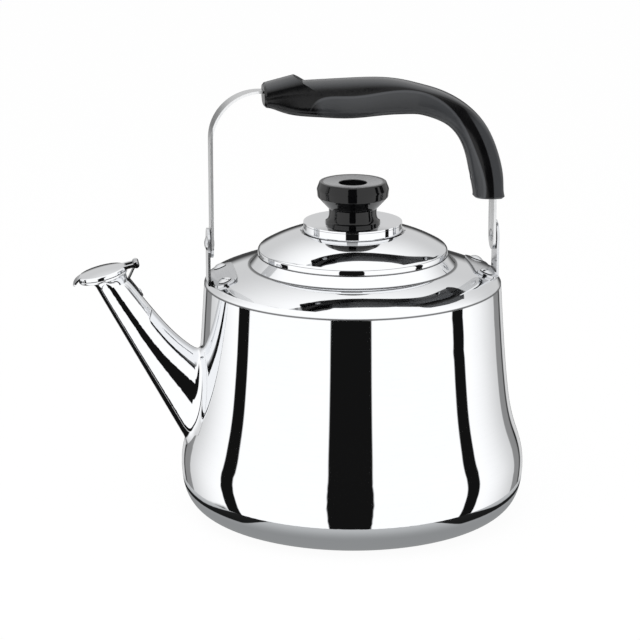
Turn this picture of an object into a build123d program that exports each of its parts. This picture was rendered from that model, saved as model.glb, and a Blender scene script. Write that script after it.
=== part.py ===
from build123d import *
import os
from math import atan2, cos, hypot, radians, sin, sqrt

# Stovetop whistling kettle. Millimetres, +Z up, origin at the centre of the base.
# The spout points to -X, and the bail handle spans front (-X) to rear (+X).

# Sheet and clearances
SHEET = 0.9               # stainless sheet of pot, dome, spout and lid
THIN_SHEET = 0.8          # sheet of the base cover, the cap and the knob dish
RUN_GAP = 0.3             # between a moving piece and what it rests on
SLIP = 0.05               # radial clearance of pins, screws and rivets in their holes
FACE_GAP = 0.1            # between flat faces that slide on each other
NEEDLE = 0.2              # thickness of the probe that finds where a surface lies

# Pot: floor recess, rounded foot, belly and flared wall up to the seam
FLOOR_Z = 6.0
RECESS_R = 77.5
FOOT_Z = 0.4
FOOT_ROUND = 2.5
BELLY_R = 110.0
BELLY_Z = 31.0
FOOT_PULL = 10.0          # how far inside the belly the foot's curve starts to rise
BELLY_PULL = 24.5         # how far below the belly line the wall starts to turn in
WALL_DRAW = 15.8          # how far the wall draws in from the belly to the seam
SEAM_R = BELLY_R - WALL_DRAW
SEAM_Z = 149.4
FLARE = ((0.22, 0.627), (0.49, 0.285), (0.76, 0.114))  # height share, width share of the flare

# Base sandwich
COVER_GAP = 0.3           # radial gap between the base cover and the recess
DISC_GAP = 0.2            # radial gap between the heat disc and the base cover
COVER_ROUND = 1.5
COVER_HEIGHT = 5.2

# Shoulder dome and collar
SHOULDER_ROUND = 8.0      # radius of the shoulder between the seam and the dome
SHOULDER_TILT = 30.0      # of the surface's normal above level at the seam, degrees
DOME_TILT = 66.0          # of the surface's normal where the shoulder runs into the dome, degrees
NECK_R = 65.1
NECK_RISE = 11.6          # from the seam to the foot of the collar
COLLAR_IN = 4.8           # how far the collar leans in over its height
COLLAR_HEIGHT = 6.3
MOUTH_LAND = 2.7          # width of the flat land round the mouth
MOUTH_DEPTH = 6.0
COLLAR_R = NECK_R - COLLAR_IN
MOUTH_R = COLLAR_R - MOUTH_LAND

# Knob dish
DISH_R = 31.2
DISH_HEIGHT = 7.7
DISH_LIP = 0.8            # rise of the dish's rim above its flat centre
DISH_FLAT_R = 20.0
DISH_ROUND = 2.2
DISH_FLANGE_R = 24.0

# Lid
LID_SET_IN = 0.1          # of the lid's rim behind the collar's top edge
RIM_HEIGHT = 3.6          # straight rim before the rounded edge meets the dome line
RIM_ROUND = 3.5
CROWN_OUT = 2.1           # of the crown's edge outside the dish
CROWN_RISE = 14.9         # from the rim's lower edge to the top of the pressed dome
LID_BULGE = 1.2
SEAT_IN = 0.2             # of the seat's edge inside the dish
SEAT_DROP = 1.9           # depth of the pressed seat in the crown
HEM_WIDTH = 2.3
SKIRT_GAP = 0.9           # radial gap between the lid's skirt and the mouth
SKIRT_DEPTH = 9.0
LID_R = COLLAR_R - LID_SET_IN
CROWN_R = DISH_R + CROWN_OUT
SEAT_R = DISH_R - SEAT_IN

# Knob and its fastening
KNOB_HEAD_R = 22.8
KNOB_NECK_R = 15.2
KNOB_FOOT_R = 17.3
KNOB_TOP_R = 21.0
KNOB_HEIGHT = 26.6
KNOB_HEAD_HEIGHT = 9.6    # straight side and top chamfer of the head
KNOB_HEAD_TAPER = 0.5     # how far the head's side draws in towards its lower edge
KNOB_CHAMFER = 4.8        # height of the chamfer round the top
KNOB_FOOT_HEIGHT = 1.2
KNOB_NECK_HEIGHT = 9.3
KNOB_WAIST = 0.4          # how far the neck draws in at its waist
KNOB_TOP_DISH = 1.0
KNOB_TOP_SAG = 0.15       # hollow of the dished top below a straight slope
KNOB_ROUND = 1.2          # lower edge of the head
KNOB_SIDE_ROUND = 2.4
KNOB_TOP_ROUND = 1.0
KNOB_RECESS_ROUND = 0.5
KNOB_RECESS_R = 8.8
KNOB_RECESS_DEPTH = 9.0
SCREW_R = 2.5
SCREW_HEAD_R = 4.8
SCREW_HEAD_HEIGHT = 2.8
SCREW_HEAD_ROUND = 1.4
SCREW_SLOT = 1.2          # width and depth of the screwdriver slot
WASHER_R = 7.0
WASHER_THICK = 1.0
NUT_FLATS = 8.0
NUT_HEIGHT = 4.0
SCREW_END = 1.5           # thread past the nut

# Spout: straight lower edge, tilted mouth
SPOUT_ROOT_Z = 47.7               # where the straight lower edge leaves the wall
SPOUT_LENGTH = 117.0              # of the lower edge, from the wall to its tip
SPOUT_LEAN = 28.4                 # lean of the lower edge from the vertical, degrees
SPOUT_STATIONS = (                # distance up the lower edge, height, width of the section
    (101.0, 21.8, 21.6),
    (85.0, 24.3, 23.4),
    (69.0, 27.6, 25.6),
    (53.0, 33.2, 28.4),
    (37.0, 41.8, 31.8),
    (21.0, 50.6, 34.7),
    (5.0, 57.0, 37.1),
    (-11.0, 62.0, 39.0),
)
LIP_OFFSET = (4.5, 7.9)           # from the tip of the lower edge to the lip's centre, x and z
MOUTH_LEAN = 13.5
LIP_R = 14.7
LIP_BEAD = 0.9
SPOUT_NECK_R = 10.2               # radius where the tube ends and the flare starts
NECK_SHIFT = 4.2                  # of the neck's centre from the lip's, towards the hinge
FLARE_DEPTH = 7.2                 # from the lip to the spout's neck
FLARE_STATIONS = ((1.0, 0.0), (0.5, 0.22), (0.15, 0.6), (0.0, 1.0))  # depth share, width share

# Cap, whistle and cap hinge, in the frame of the spout mouth
CAP_OVERHANG = 0.5        # of the cap's rim over the lip
CAP_SKIRT = 0.9
CAP_ROUND = 1.2
CAP_CROWN = 4.0
TAB_BEND = 10.0           # radius of the finger tab's bend, measured on its upper face
TAB_START = 2.0           # how far inside the cap's rim the tab starts
TAB_ANGLES = (12.0, 58.0)  # slope of the tab at its root and at its tip, degrees
TAB_WIDTH = 10.0
TAB_ROUND = 3.0
TAB_THICK = 1.1
TAB_Z = 2.7               # of the tab's upper face above the lip, at its root
HINGE_OUT = 6.7           # from the cap's rim to the hinge pin
HINGE_Z = 1.6             # of the hinge pin above the lip
PIN_R = 1.0
PIN_HEAD_R = 1.5
KNUCKLE_R = 2.0
LEAF_WIDTH = 5.2
LEAF_THICK = 0.9
LEAF_FOOT = 13.5          # how far the leaf runs down the spout's ridge
LEAF_BACK = 5.0           # of the leaf's bend behind the hinge pin, towards the mouth
RIDGE_TURN = 10.0         # how much more the spout's ridge leans than its lower edge, degrees
EAR_WIDTH = 2.6
EAR_ROOT = 3.0            # how far the cap's ears reach in under its rim
WHISTLE_GAP = 6.8         # radial gap between the whistle cup and the lip's bore
WHISTLE_DROP = 2.5        # of the whistle cup below the lip
WHISTLE_HOLE_R = 1.6
PLATE_Z = 1.0
STEAM_SLOT = 5.0          # width of the notches that let steam past
STEAM_NOTCH = 0.6         # height of the notch in the cap's skirt
CUP_NOTCH = 2.4           # depth of the notch in the cup, from the top of the crown
CAP_R = LIP_R + CAP_OVERHANG
HINGE_REACH = CAP_R + HINGE_OUT
WHISTLE_R = LIP_R - SHEET - WHISTLE_GAP

# Bail: pivots, lugs, straps
STRAP_INSET = 5.4         # of each strap's inner face inside the seam
STRAP_THICK = 1.6
STRAP_HALF = 9.0          # half width of the straps, and the radius of their lower ends
PIVOT_RISE = 27.1         # of the pivots above the seam
PIVOT_R = 3.0
PIVOT_HEAD_R = 4.6
PIVOT_HEAD = 1.6
PIVOT_CLENCH_R = 4.0      # clenched inner end of the pivot rivets
PIVOT_CLENCH = 0.9
PIVOT_WASHER = 0.6
PIVOT_WASHER_R = 8.0
EAR_THICK = 1.5
EAR_MARGIN = 0.8          # of the ear's round top past the strap's round end
EAR_RISE = 0.6            # of the ear's lower edge above the seam
FOOT_THICK = 1.5
FOOT_OUT = 2.85           # of the foot's centre line outside the middle of the dome
FOOT_HALF = 7.0
LUG_RIVET_OUT = 8.0       # from the strap's edge to each rivet of the foot
LUG_RIVET_R = 2.0
LUG_RIVET_HEAD_R = 4.2
LUG_RIVET_HEAD = 1.7
CLENCH_R = 3.4            # clenched inner end of the foot's rivets
CLENCH = 1.0
BAIL_RISE = 95.0          # from the pivots to the line the grip is measured from
TANG_RISE = 2.0           # of the front strap's level run above that line
TANG_HALF = 4.5           # half width of the front strap where it enters the grip
BEND_R = 30.0             # inner radius of the front strap's bend
REAR_BEND_R = 50.0        # radius of the rear strap's bend inside the grip
REAR_BEND_ANGLE = 35.0
STRAP_REACH = 34.0        # length of the front strap inside the grip
SLOT_GAP = 0.15
STRAP_X = SEAM_R - STRAP_INSET
PIVOT_Z = SEAM_Z + PIVOT_RISE
BAIL_TOP = PIVOT_Z + BAIL_RISE
TANG_Z = BAIL_TOP + TANG_RISE
EAR_TOP_R = STRAP_HALF + EAR_MARGIN
EAR_BOTTOM_Z = SEAM_Z + EAR_RISE
FOOT_X = (NECK_R + SEAM_R) / 2 + FOOT_OUT
LUG_RIVET_Y = STRAP_HALF + LUG_RIVET_OUT

# Grip: stations from front to rear, x from the rear strap's inner face, z from the bail's top:
# top edge, lower edge, drop of the crease below the top edge, and how much wider than half
# a strap the crease, the upper lobe and the lower lobe are
GRIP_STATIONS = (
    ((-144.2, 5.0), (-143.9, -8.8), 7.6, 3.4, 3.6, 2.6),
    ((-130.8, 6.5), (-130.3, -13.3), 7.8, 3.6, 3.8, 2.6),
    ((-116.8, 7.2), (-115.8, -15.5), 8.2, 3.6, 3.8, 2.6),
    ((-102.8, 7.7), (-102.8, -16.6), 8.6, 3.6, 3.8, 2.6),
    ((-88.8, 8.1), (-89.8, -17.1), 8.4, 3.6, 3.8, 2.6),
    ((-74.8, 8.1), (-75.8, -16.2), 7.0, 3.6, 3.8, 2.4),
    ((-60.8, 6.7), (-63.3, -15.4), 5.0, 3.6, 3.8, 2.4),
    ((-46.8, 3.3), (-52.3, -15.3), 3.6, 3.4, 3.6, 2.4),
    ((-31.8, -1.6), (-41.9, -17.1), 3.0, 3.4, 3.6, 2.4),
    ((-19.3, -8.4), (-32.8, -20.8), 2.8, 3.2, 3.6, 2.4),
    ((-7.8, -19.0), (-24.6, -27.4), 2.8, 3.2, 3.4, 2.4),
    ((-0.6, -31.2), (-19.2, -36.6), 2.8, 3.0, 3.4, 2.4),
    ((3.6, -43.0), (-16.4, -45.6), 2.8, 3.0, 3.4, 2.4),
    ((6.1, -55.0), (-14.2, -56.2), 2.8, 3.0, 3.4, 2.4),
    ((7.3, -68.0), (-12.2, -68.6), 2.8, 3.0, 3.4, 2.4),
)
THUMB_STATIONS = (        # thumb rest on the grip's front end, in the same terms
    ((-144.2, 6.3), (-143.9, -7.8), 8.6, 3.2, 4.4, 1.6),
    ((-132.8, 9.2), (-132.3, -11.6), 9.9, 3.2, 4.6, 1.6),
    ((-120.8, 12.2), (-119.8, -13.8), 12.4, 3.2, 4.6, 1.6),
    ((-108.8, 15.0), (-107.8, -14.8), 15.4, 3.2, 4.6, 1.6),
)
THUMB_PEAK = (-126.8, 11.0)  # crest of the thumb rest
THUMB_SLOPE = 33.0        # fall of the thumb rest's rear face, degrees
GRIP_SQUARE = 0.82        # squareness of the lobes: 0.55 is round
GRIP_SIDE = 0.5           # share of a lobe's height over which its side runs straight
GRIP_END_BEVEL = 1.3
GRIP_SCREW_R = 1.8
GRIP_SCREW_HEAD_R = 3.4
GRIP_SCREW_HEAD = 2.2
GRIP_SCREW_SLOT = 0.9     # width and depth of the screwdriver slot
GRIP_SCREW_SINK = 3.4     # depth of the counterbore in the grip
GRIP_SCREW_PAST = 1.0     # thread past the strap
FRONT_SCREW_IN = 20.0     # from the grip's front end
REAR_SCREW_UP = 13.0      # from the grip's rear end

NODES = {}


def keep(name, shape):
    """Register one named piece."""
    NODES[name] = shape
    return shape


def profile(*edges):
    """Closed face in the XZ plane from edges drawn in x and z."""
    return Plane.XZ * make_face(Curve() + list(edges))


def turned(*edges):
    """Solid of revolution about Z from a closed outline in radius and height."""
    return revolve(profile(*edges), Axis.Z)


def tube(r_out, r_in, low, high):
    """Plain ring about Z between two heights."""
    return turned(Polyline((r_in, low), (r_out, low), (r_out, high), (r_in, high), close=True))


def rod(r, low, high):
    """Plain round bar about Z between two heights."""
    return Pos(0, 0, low) * Cylinder(r, high - low, align=(Align.CENTER, Align.CENTER, Align.MIN))


def domed_head(r, rise):
    """Round head about Z: flat underneath at zero height, a shallow sphere above."""
    ball = (r * r + rise * rise) / (2 * rise)
    middle = (r / 2, rise - ball + sqrt(ball * ball - r * r / 4))
    return turned(
        Polyline((0, rise), (0, 0), (r, 0)),
        ThreePointArc((r, 0), middle, (0, rise)),
    )


def section_plane(x, z, lean):
    """Plane through (x, 0, z) whose normal leans from +Z towards -X."""
    a = radians(lean)
    return Plane(origin=(x, 0, z), x_dir=(cos(a), 0, sin(a)), z_dir=(-sin(a), 0, cos(a)))


def needle(shape, x, z, along_x):
    """Bounds of what a thin needle along X or Z through (x, 0, z) meets in a shape."""
    reach = 4 * BELLY_R
    size = (reach, NEEDLE, NEEDLE) if along_x else (NEEDLE, NEEDLE, reach)
    return (shape & (Pos(x, 0, z) * Box(*size))).bounding_box()


def arc_centre(p, q, bulge):
    """Centre and radius of the arc from p to q that rises by bulge above its chord."""
    dx, dz = q[0] - p[0], q[1] - p[1]
    chord = hypot(dx, dz)
    radius = chord * chord / (8 * bulge) + bulge / 2
    up = (-dz / chord, dx / chord) if dx > 0 else (dz / chord, -dx / chord)
    drop = radius - bulge
    return (p[0] + q[0]) / 2 - up[0] * drop, (p[1] + q[1]) / 2 - up[1] * drop, radius


def arc_height(circle, r, inset):
    """Height at radius r on an arc that is moved towards its centre by inset."""
    return circle[1] + sqrt((circle[2] - inset) ** 2 - (r - circle[0]) ** 2)


# Pot wall: outer and inner outline differ by the sheet
def pot_region(inset):
    a = RECESS_R + inset
    b = FOOT_Z + inset
    k = FOOT_ROUND - inset
    belly = BELLY_R - inset
    seam = SEAM_R - inset
    flare = [(seam + (belly - seam) * w, BELLY_Z + (SEAM_Z - BELLY_Z) * h) for h, w in FLARE]
    return turned(
        Polyline((seam, SEAM_Z), (0, SEAM_Z), (0, FLOOR_Z + inset), (a, FLOOR_Z + inset), (a, b + k)),
        RadiusArc((a, b + k), (a + k, b), k),
        Bezier((a + k, b), (belly - FOOT_PULL, b), (belly, BELLY_Z - BELLY_PULL), (belly, BELLY_Z)),
        Spline((belly, BELLY_Z), *flare, (seam, SEAM_Z), tangents=((0, 1), (-0.06, 1))),
    )


pot_outer = pot_region(0)

# Spout: lofted sections that hang on its straight lower edge
lean = radians(SPOUT_LEAN)
SPOUT_UP = (-sin(lean), cos(lean))
SPOUT_ACROSS = (cos(lean), sin(lean))
root_x = needle(pot_outer, 0, SPOUT_ROOT_Z, True).min.X
tip_x = root_x + SPOUT_LENGTH * SPOUT_UP[0]
tip_z = SPOUT_ROOT_Z + SPOUT_LENGTH * SPOUT_UP[1]
MOUTH = section_plane(tip_x + LIP_OFFSET[0], tip_z + LIP_OFFSET[1], MOUTH_LEAN)


def spout_section(station, inset):
    up, height, width = station
    x = root_x + SPOUT_UP[0] * up + SPOUT_ACROSS[0] * height / 2
    z = SPOUT_ROOT_Z + SPOUT_UP[1] * up + SPOUT_ACROSS[1] * height / 2
    return section_plane(x, z, SPOUT_LEAN) * Ellipse(height / 2 - inset, width / 2 - inset)


def spout_neck(inset, depth, width):
    """Round section of the flare at a share of its depth and of its widening."""
    shift = Pos(NECK_SHIFT * (1 - width), 0, -LIP_BEAD - (FLARE_DEPTH - LIP_BEAD) * depth)
    return MOUTH * shift * Circle(SPOUT_NECK_R + (LIP_R - SPOUT_NECK_R) * width - inset)


def spout_region(inset):
    sections = [spout_neck(inset, *FLARE_STATIONS[0])]
    sections += [spout_section(station, inset) for station in SPOUT_STATIONS]
    return loft(sections)


def flare_region(inset):
    return loft([spout_neck(inset, *station) for station in FLARE_STATIONS])


def spout_flare():
    """Flared mouth with a rolled bead round its lip."""
    return flare_region(0) - flare_region(SHEET) + MOUTH * Pos(0, 0, -LIP_BEAD) * Torus(LIP_R, LIP_BEAD)


spout_outer = spout_region(0)
spout_inner = spout_region(SHEET)
keep("pot_wall", pot_outer - pot_region(SHEET) - spout_inner)
keep("spout", spout_outer - spout_inner - pot_outer + spout_flare())

# Base: aluminium heat disc inside a pressed steel cover
cover_r = RECESS_R - COVER_GAP
heat_disc_r = cover_r - THIN_SHEET - DISC_GAP
cover = fillet(rod(cover_r, 0, COVER_HEIGHT).edges().group_by(Axis.Z)[0], COVER_ROUND)
keep("base_cover", cover - rod(cover_r - THIN_SHEET, THIN_SHEET, FLOOR_Z))
keep("heat_disc", rod(heat_disc_r, THIN_SHEET, FLOOR_Z))

# Shoulder dome: an arc from the collar's foot runs into the round shoulder above the seam
neck = (NECK_R, SEAM_Z + NECK_RISE)
tilt = radians(SHOULDER_TILT)
dome_up = (cos(radians(DOME_TILT)), sin(radians(DOME_TILT)))
SHOULDER = (SEAM_R - SHOULDER_ROUND * cos(tilt), SEAM_Z - SHOULDER_ROUND * sin(tilt), SHOULDER_ROUND)
join = (SHOULDER[0] + SHOULDER_ROUND * dome_up[0], SHOULDER[1] + SHOULDER_ROUND * dome_up[1])
span = (join[0] - neck[0], join[1] - neck[1])
dome_r = hypot(*span) ** 2 / (2 * (span[0] * dome_up[0] + span[1] * dome_up[1]))
DOME = (join[0] - dome_r * dome_up[0], join[1] - dome_r * dome_up[1], dome_r)


def dome_region(inset):
    low = SEAM_Z - SHEET
    rim = SHOULDER_ROUND - inset
    edge = (SHOULDER[0] + rim * cos(tilt), SHOULDER[1] + rim * sin(tilt))
    top = (join[0] - inset * dome_up[0], join[1] - inset * dome_up[1])
    neck_z = arc_height(DOME, NECK_R, inset)
    turn = (edge[0] + top[0]) / 2
    middle = (top[0] + NECK_R) / 2
    return turned(
        Polyline((NECK_R, neck_z), (0, neck_z), (0, low), (edge[0], low), edge),
        ThreePointArc(edge, (turn, arc_height(SHOULDER, turn, inset)), top),
        ThreePointArc(top, (middle, arc_height(DOME, middle, inset)), (NECK_R, neck_z)),
    )


def collar_ring():
    neck_z = neck[1]
    top = neck_z + COLLAR_HEIGHT
    inner_top = top - SHEET
    low = top - MOUTH_DEPTH
    under = neck_z - SHEET
    return turned(
        Polyline(
            (NECK_R, neck_z), (COLLAR_R, top), (MOUTH_R, top), (MOUTH_R, low), (MOUTH_R + SHEET, low),
            (MOUTH_R + SHEET, inner_top), (COLLAR_R - SHEET, inner_top), (NECK_R - SHEET, under),
            (NECK_R, under), close=True,
        )
    )


dome_outer = dome_region(0) - rod(BELLY_R, SEAM_Z - SHEET, SEAM_Z)
dome_shell = dome_outer - dome_region(SHEET) - rod(NECK_R - SHEET, SEAM_Z, neck[1] + SHEET)
collar_top = neck[1] + COLLAR_HEIGHT
dome_shell = dome_shell + collar_ring()


# Lugs: an ear on the outside of each strap, with a foot that follows the dome
ear_x = STRAP_X + STRAP_THICK + FACE_GAP + PIVOT_WASHER
ear_out = ear_x + EAR_THICK


def lug_rivet_planes():
    r = hypot(FOOT_X, LUG_RIVET_Y)
    z = arc_height(DOME, r, 0)
    lift = atan2(z - DOME[1], r - DOME[0])
    for side in (-1, 1):
        ux, uy = FOOT_X / r, side * LUG_RIVET_Y / r
        normal = (ux * cos(lift), uy * cos(lift), sin(lift))
        yield Plane(origin=(FOOT_X, side * LUG_RIVET_Y, z), z_dir=normal)


def lug():
    foot_plan = Pos(FOOT_X, 0) * Rot(0, 0, 90) * SlotCenterToCenter(2 * LUG_RIVET_Y, 2 * FOOT_HALF)
    neck_plan = Pos((FOOT_X + ear_out) / 2, 0) * Rectangle(ear_out - FOOT_X, 2 * STRAP_HALF)
    tall = EAR_TOP_R + PIVOT_Z - EAR_BOTTOM_Z
    blank = Pos(0, 0, EAR_BOTTOM_Z) * extrude(foot_plan + neck_plan, tall)
    foot = blank & dome_region(-FOOT_THICK)
    ear = Plane.YZ * (
        Pos(0, PIVOT_Z) * Circle(EAR_TOP_R)
        + Pos(0, (PIVOT_Z + EAR_BOTTOM_Z) / 2) * Rectangle(2 * STRAP_HALF, PIVOT_Z - EAR_BOTTOM_Z)
    )
    ear = Pos(ear_x, 0, 0) * extrude(ear, EAR_THICK)
    bracket = foot + ear - dome_outer
    bracket -= Pos(ear_x, 0, PIVOT_Z) * Rot(0, 90, 0) * Cylinder(PIVOT_R + SLIP, 4 * EAR_THICK)
    for plane in lug_rivet_planes():
        bracket -= plane * Cylinder(LUG_RIVET_R + SLIP, 4 * FOOT_THICK)
    return bracket


def lug_rivets():
    dome_head = domed_head(LUG_RIVET_HEAD_R, LUG_RIVET_HEAD)
    clench = rod(CLENCH_R, -SHEET - CLENCH - RUN_GAP, -SHEET - RUN_GAP)
    shank = rod(LUG_RIVET_R, -SHEET - RUN_GAP, FOOT_THICK + RUN_GAP)
    rivet = Pos(0, 0, FOOT_THICK + RUN_GAP) * dome_head + shank + clench
    return [plane * rivet for plane in lug_rivet_planes()]


def pivot_rivet():
    head = domed_head(PIVOT_HEAD_R, PIVOT_HEAD)
    grip_length = ear_out - STRAP_X + FACE_GAP
    shank = rod(PIVOT_R, 0, grip_length)
    clench = Rot(180, 0, 0) * domed_head(PIVOT_CLENCH_R, PIVOT_CLENCH)
    along_x = Pos(STRAP_X - FACE_GAP, 0, PIVOT_Z) * Rot(0, 90, 0)
    return along_x * (clench + shank + Pos(0, 0, grip_length) * head)


def pivot_washer():
    ring = tube(PIVOT_WASHER_R, PIVOT_R + SLIP, 0, PIVOT_WASHER)
    return Pos(ear_x - PIVOT_WASHER, 0, PIVOT_Z) * Rot(0, 90, 0) * ring


TURN = Rot(0, 0, 180)
for plane in lug_rivet_planes():
    hole = plane * Cylinder(LUG_RIVET_R + SLIP, 4 * FOOT_THICK)
    dome_shell -= hole
    dome_shell -= TURN * hole
keep("shoulder_dome", dome_shell)
keep("rear_lug", lug())
keep("front_lug", TURN * lug())
keep("rear_lug_rivets", Compound(lug_rivets()))
keep("front_lug_rivets", Compound([TURN * rivet for rivet in lug_rivets()]))
keep("rear_pivot_rivet", pivot_rivet())
keep("front_pivot_rivet", TURN * pivot_rivet())
keep("rear_pivot_washer", pivot_washer())
keep("front_pivot_washer", TURN * pivot_washer())

# Straps: flat strips with round lower ends, drawn in the XZ plane and given their width
strap_out = STRAP_X + STRAP_THICK
grip_front_x = STRAP_X + GRIP_STATIONS[0][0][0]
strap_plan = Plane.YZ * (
    Pos(0, PIVOT_Z) * Circle(STRAP_HALF)
    + Pos(0, (PIVOT_Z + 2 * BAIL_TOP) / 2) * Rectangle(2 * STRAP_HALF, 2 * BAIL_TOP - PIVOT_Z)
)
strap_mask = Pos(-2 * BELLY_R, 0, 0) * extrude(strap_plan, 4 * BELLY_R)
strap_low = PIVOT_Z - STRAP_HALF
pivot_bores = Pos(0, 0, PIVOT_Z) * Rot(0, 90, 0) * Cylinder(PIVOT_R + SLIP, 4 * BELLY_R)


def front_strip(grow):
    """Front strap's side outline, grown by a clearance for the slot in the grip."""
    x0 = -strap_out - grow
    x1 = -STRAP_X + grow
    z1 = TANG_Z + grow
    z0 = TANG_Z - STRAP_THICK - grow
    inner = BEND_R - grow
    outer = BEND_R + STRAP_THICK + grow
    end = grip_front_x + STRAP_REACH + grow
    return profile(
        Polyline((x0 + outer, z1), (end, z1), (end, z0), (x1 + inner, z0)),
        RadiusArc((x1 + inner, z0), (x1, z0 - inner), -inner),
        Polyline((x1, z0 - inner), (x1, strap_low), (x0, strap_low), (x0, z1 - outer)),
        RadiusArc((x0, z1 - outer), (x0 + outer, z1), outer),
    )


grip_end_z = BAIL_TOP + GRIP_STATIONS[-1][0][1]


def rear_strip(grow):
    """Rear strap's side outline: upright, then a bend that follows the grip's middle."""
    x0 = STRAP_X - grow
    x1 = strap_out + grow
    a = radians(REAR_BEND_ANGLE) + grow / REAR_BEND_R
    centre = STRAP_X - REAR_BEND_R

    def on_arc(x, angle):
        return centre + (x - centre) * cos(angle), grip_end_z + (x - centre) * sin(angle)

    return profile(
        Polyline((x0, grip_end_z), (x0, strap_low), (x1, strap_low), (x1, grip_end_z)),
        ThreePointArc((x1, grip_end_z), on_arc(x1, a / 2), on_arc(x1, a)),
        Line(on_arc(x1, a), on_arc(x0, a)),
        ThreePointArc(on_arc(x0, a), on_arc(x0, a / 2), (x0, grip_end_z)),
    )


def strip(outline, half):
    return extrude(outline, half, both=True)


def tang_mask():
    """Plan of the front strap: full width down to the pivot, narrowed to the tang in its bend."""
    end = grip_front_x + STRAP_REACH
    bend_end = BEND_R - STRAP_X
    half = make_face(
        Polyline(
            (-strap_out, 0), (-strap_out, STRAP_HALF), (-STRAP_X, STRAP_HALF), (bend_end, TANG_HALF),
            (end, TANG_HALF), (end, 0), close=True,
        )
    )
    plan = extrude(half, 2 * BAIL_TOP)
    return plan + mirror(plan, Plane.XZ)


# Grip: loft through two-lobed sections, whose shared corner draws the crease along the side
def grip_section(station, shrink=1.0, shift=0.0):
    """Section at one station, shrunk about its middle and shifted along the grip for the ends."""
    (tx, tz), (bx, bz), crease_drop, *widths = station
    crease_half, upper, lower = [STRAP_HALF + width for width in widths]
    height = hypot(tx - bx, tz - bz)
    up = ((tx - bx) / height, (tz - bz) / height)
    middle = (STRAP_X + (tx + bx) / 2, 0, BAIL_TOP + (tz + bz) / 2)
    plane = Plane(origin=middle, x_dir=(0, 1, 0), z_dir=(up[1], 0, -up[0]))
    top = height / 2
    crease = top - crease_drop
    above = crease + (top - crease) * GRIP_SIDE
    below = crease - (top + crease) * GRIP_SIDE
    outline = Curve()
    for side in (shrink, -shrink):
        outline += Bezier(
            (0, shrink * top), (side * upper * GRIP_SQUARE, shrink * top),
            (side * upper, shrink * above), (side * crease_half, shrink * crease),
        )
        outline += Bezier(
            (side * crease_half, shrink * crease), (side * lower, shrink * below),
            (side * lower * GRIP_SQUARE, -shrink * top), (0, -shrink * top),
        )
    return plane * Pos(0, 0, shift) * make_face(outline)


def grip_end(station, direction):
    """Bevelled end: the end section drawn in as it runs on by the bevel."""
    (tx, tz), (bx, bz) = station[:2]
    shrink = 1 - 2 * GRIP_END_BEVEL / hypot(tx - bx, tz - bz)
    ends = [grip_section(station), grip_section(station, shrink, direction * GRIP_END_BEVEL)]
    return loft(ends, ruled=True)


def thumb_rest():
    """Raised front end of the grip, cut off by a face that falls to the rear from its crest."""
    block = loft([grip_section(station) for station in THUMB_STATIONS])
    block += grip_end(THUMB_STATIONS[0], -1)
    slope = radians(THUMB_SLOPE)
    crest = (STRAP_X + THUMB_PEAK[0], 0, BAIL_TOP + THUMB_PEAK[1])
    face = Plane(origin=crest, x_dir=(0, 1, 0), z_dir=(sin(slope), 0, cos(slope)))
    size = 2 * BELLY_R
    return block - face * Box(size, size, size, align=(Align.CENTER, Align.CENTER, Align.MIN))


grip = loft([grip_section(station) for station in GRIP_STATIONS])
grip += grip_end(GRIP_STATIONS[0], -1)
grip += thumb_rest()
grip += grip_end(GRIP_STATIONS[-1], 1)

# Screws that hold the straps: the front one upright, the rear one level
front_screw_x = grip_front_x + FRONT_SCREW_IN
rear_screw_z = grip_end_z + REAR_SCREW_UP


def grip_screw(length):
    """Screw with its head's top at the origin and its shank along +Z."""
    head = rod(GRIP_SCREW_HEAD_R, 0, GRIP_SCREW_HEAD)
    slot = Box(3 * GRIP_SCREW_HEAD_R, GRIP_SCREW_SLOT, 2 * GRIP_SCREW_SLOT)
    return head - slot + rod(GRIP_SCREW_R, GRIP_SCREW_HEAD, length)


def grip_screw_hole(length):
    bore = rod(GRIP_SCREW_HEAD_R + RUN_GAP, -3 * GRIP_SCREW_SINK, GRIP_SCREW_HEAD)
    return bore + rod(GRIP_SCREW_R + SLIP, GRIP_SCREW_HEAD, length + RUN_GAP)


front_low = needle(grip, front_screw_x, BAIL_TOP, False).min.Z
rear_in = needle(grip, STRAP_X, rear_screw_z, True).min.X
front_seat = front_low + GRIP_SCREW_SINK - GRIP_SCREW_HEAD
rear_seat = rear_in + GRIP_SCREW_SINK - GRIP_SCREW_HEAD
front_screw_length = TANG_Z + GRIP_SCREW_PAST - front_seat
rear_screw_length = strap_out + GRIP_SCREW_PAST - rear_seat
screw_frames = (
    (Pos(front_screw_x, 0, front_seat), front_screw_length),
    (Pos(rear_seat, 0, rear_screw_z) * Rot(0, 90, 0), rear_screw_length),
)
front_strap = strip(front_strip(0), STRAP_HALF) & strap_mask & tang_mask()
rear_strap = strip(rear_strip(0), STRAP_HALF) & strap_mask
grip -= strip(front_strip(SLOT_GAP), TANG_HALF + SLOT_GAP)
grip -= strip(rear_strip(SLOT_GAP), STRAP_HALF + SLOT_GAP)
for frame, length in screw_frames:
    hole = frame * grip_screw_hole(length)
    grip -= hole
    front_strap -= hole
    rear_strap -= hole
keep("front_strap", front_strap - pivot_bores)
keep("rear_strap", rear_strap - pivot_bores)
keep("handle_grip", grip)
keep("grip_screws", Compound([frame * grip_screw(length) for frame, length in screw_frames]))

# Lid: pressed dome with a straight rim, a turned-in hem and a flat seat for the knob dish
lid_low = collar_top + RUN_GAP
crown_z = lid_low + CROWN_RISE
seat_z = crown_z - SEAT_DROP
LID_ARC = arc_centre((CROWN_R, crown_z), (LID_R, lid_low + RIM_HEIGHT), LID_BULGE)


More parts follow.
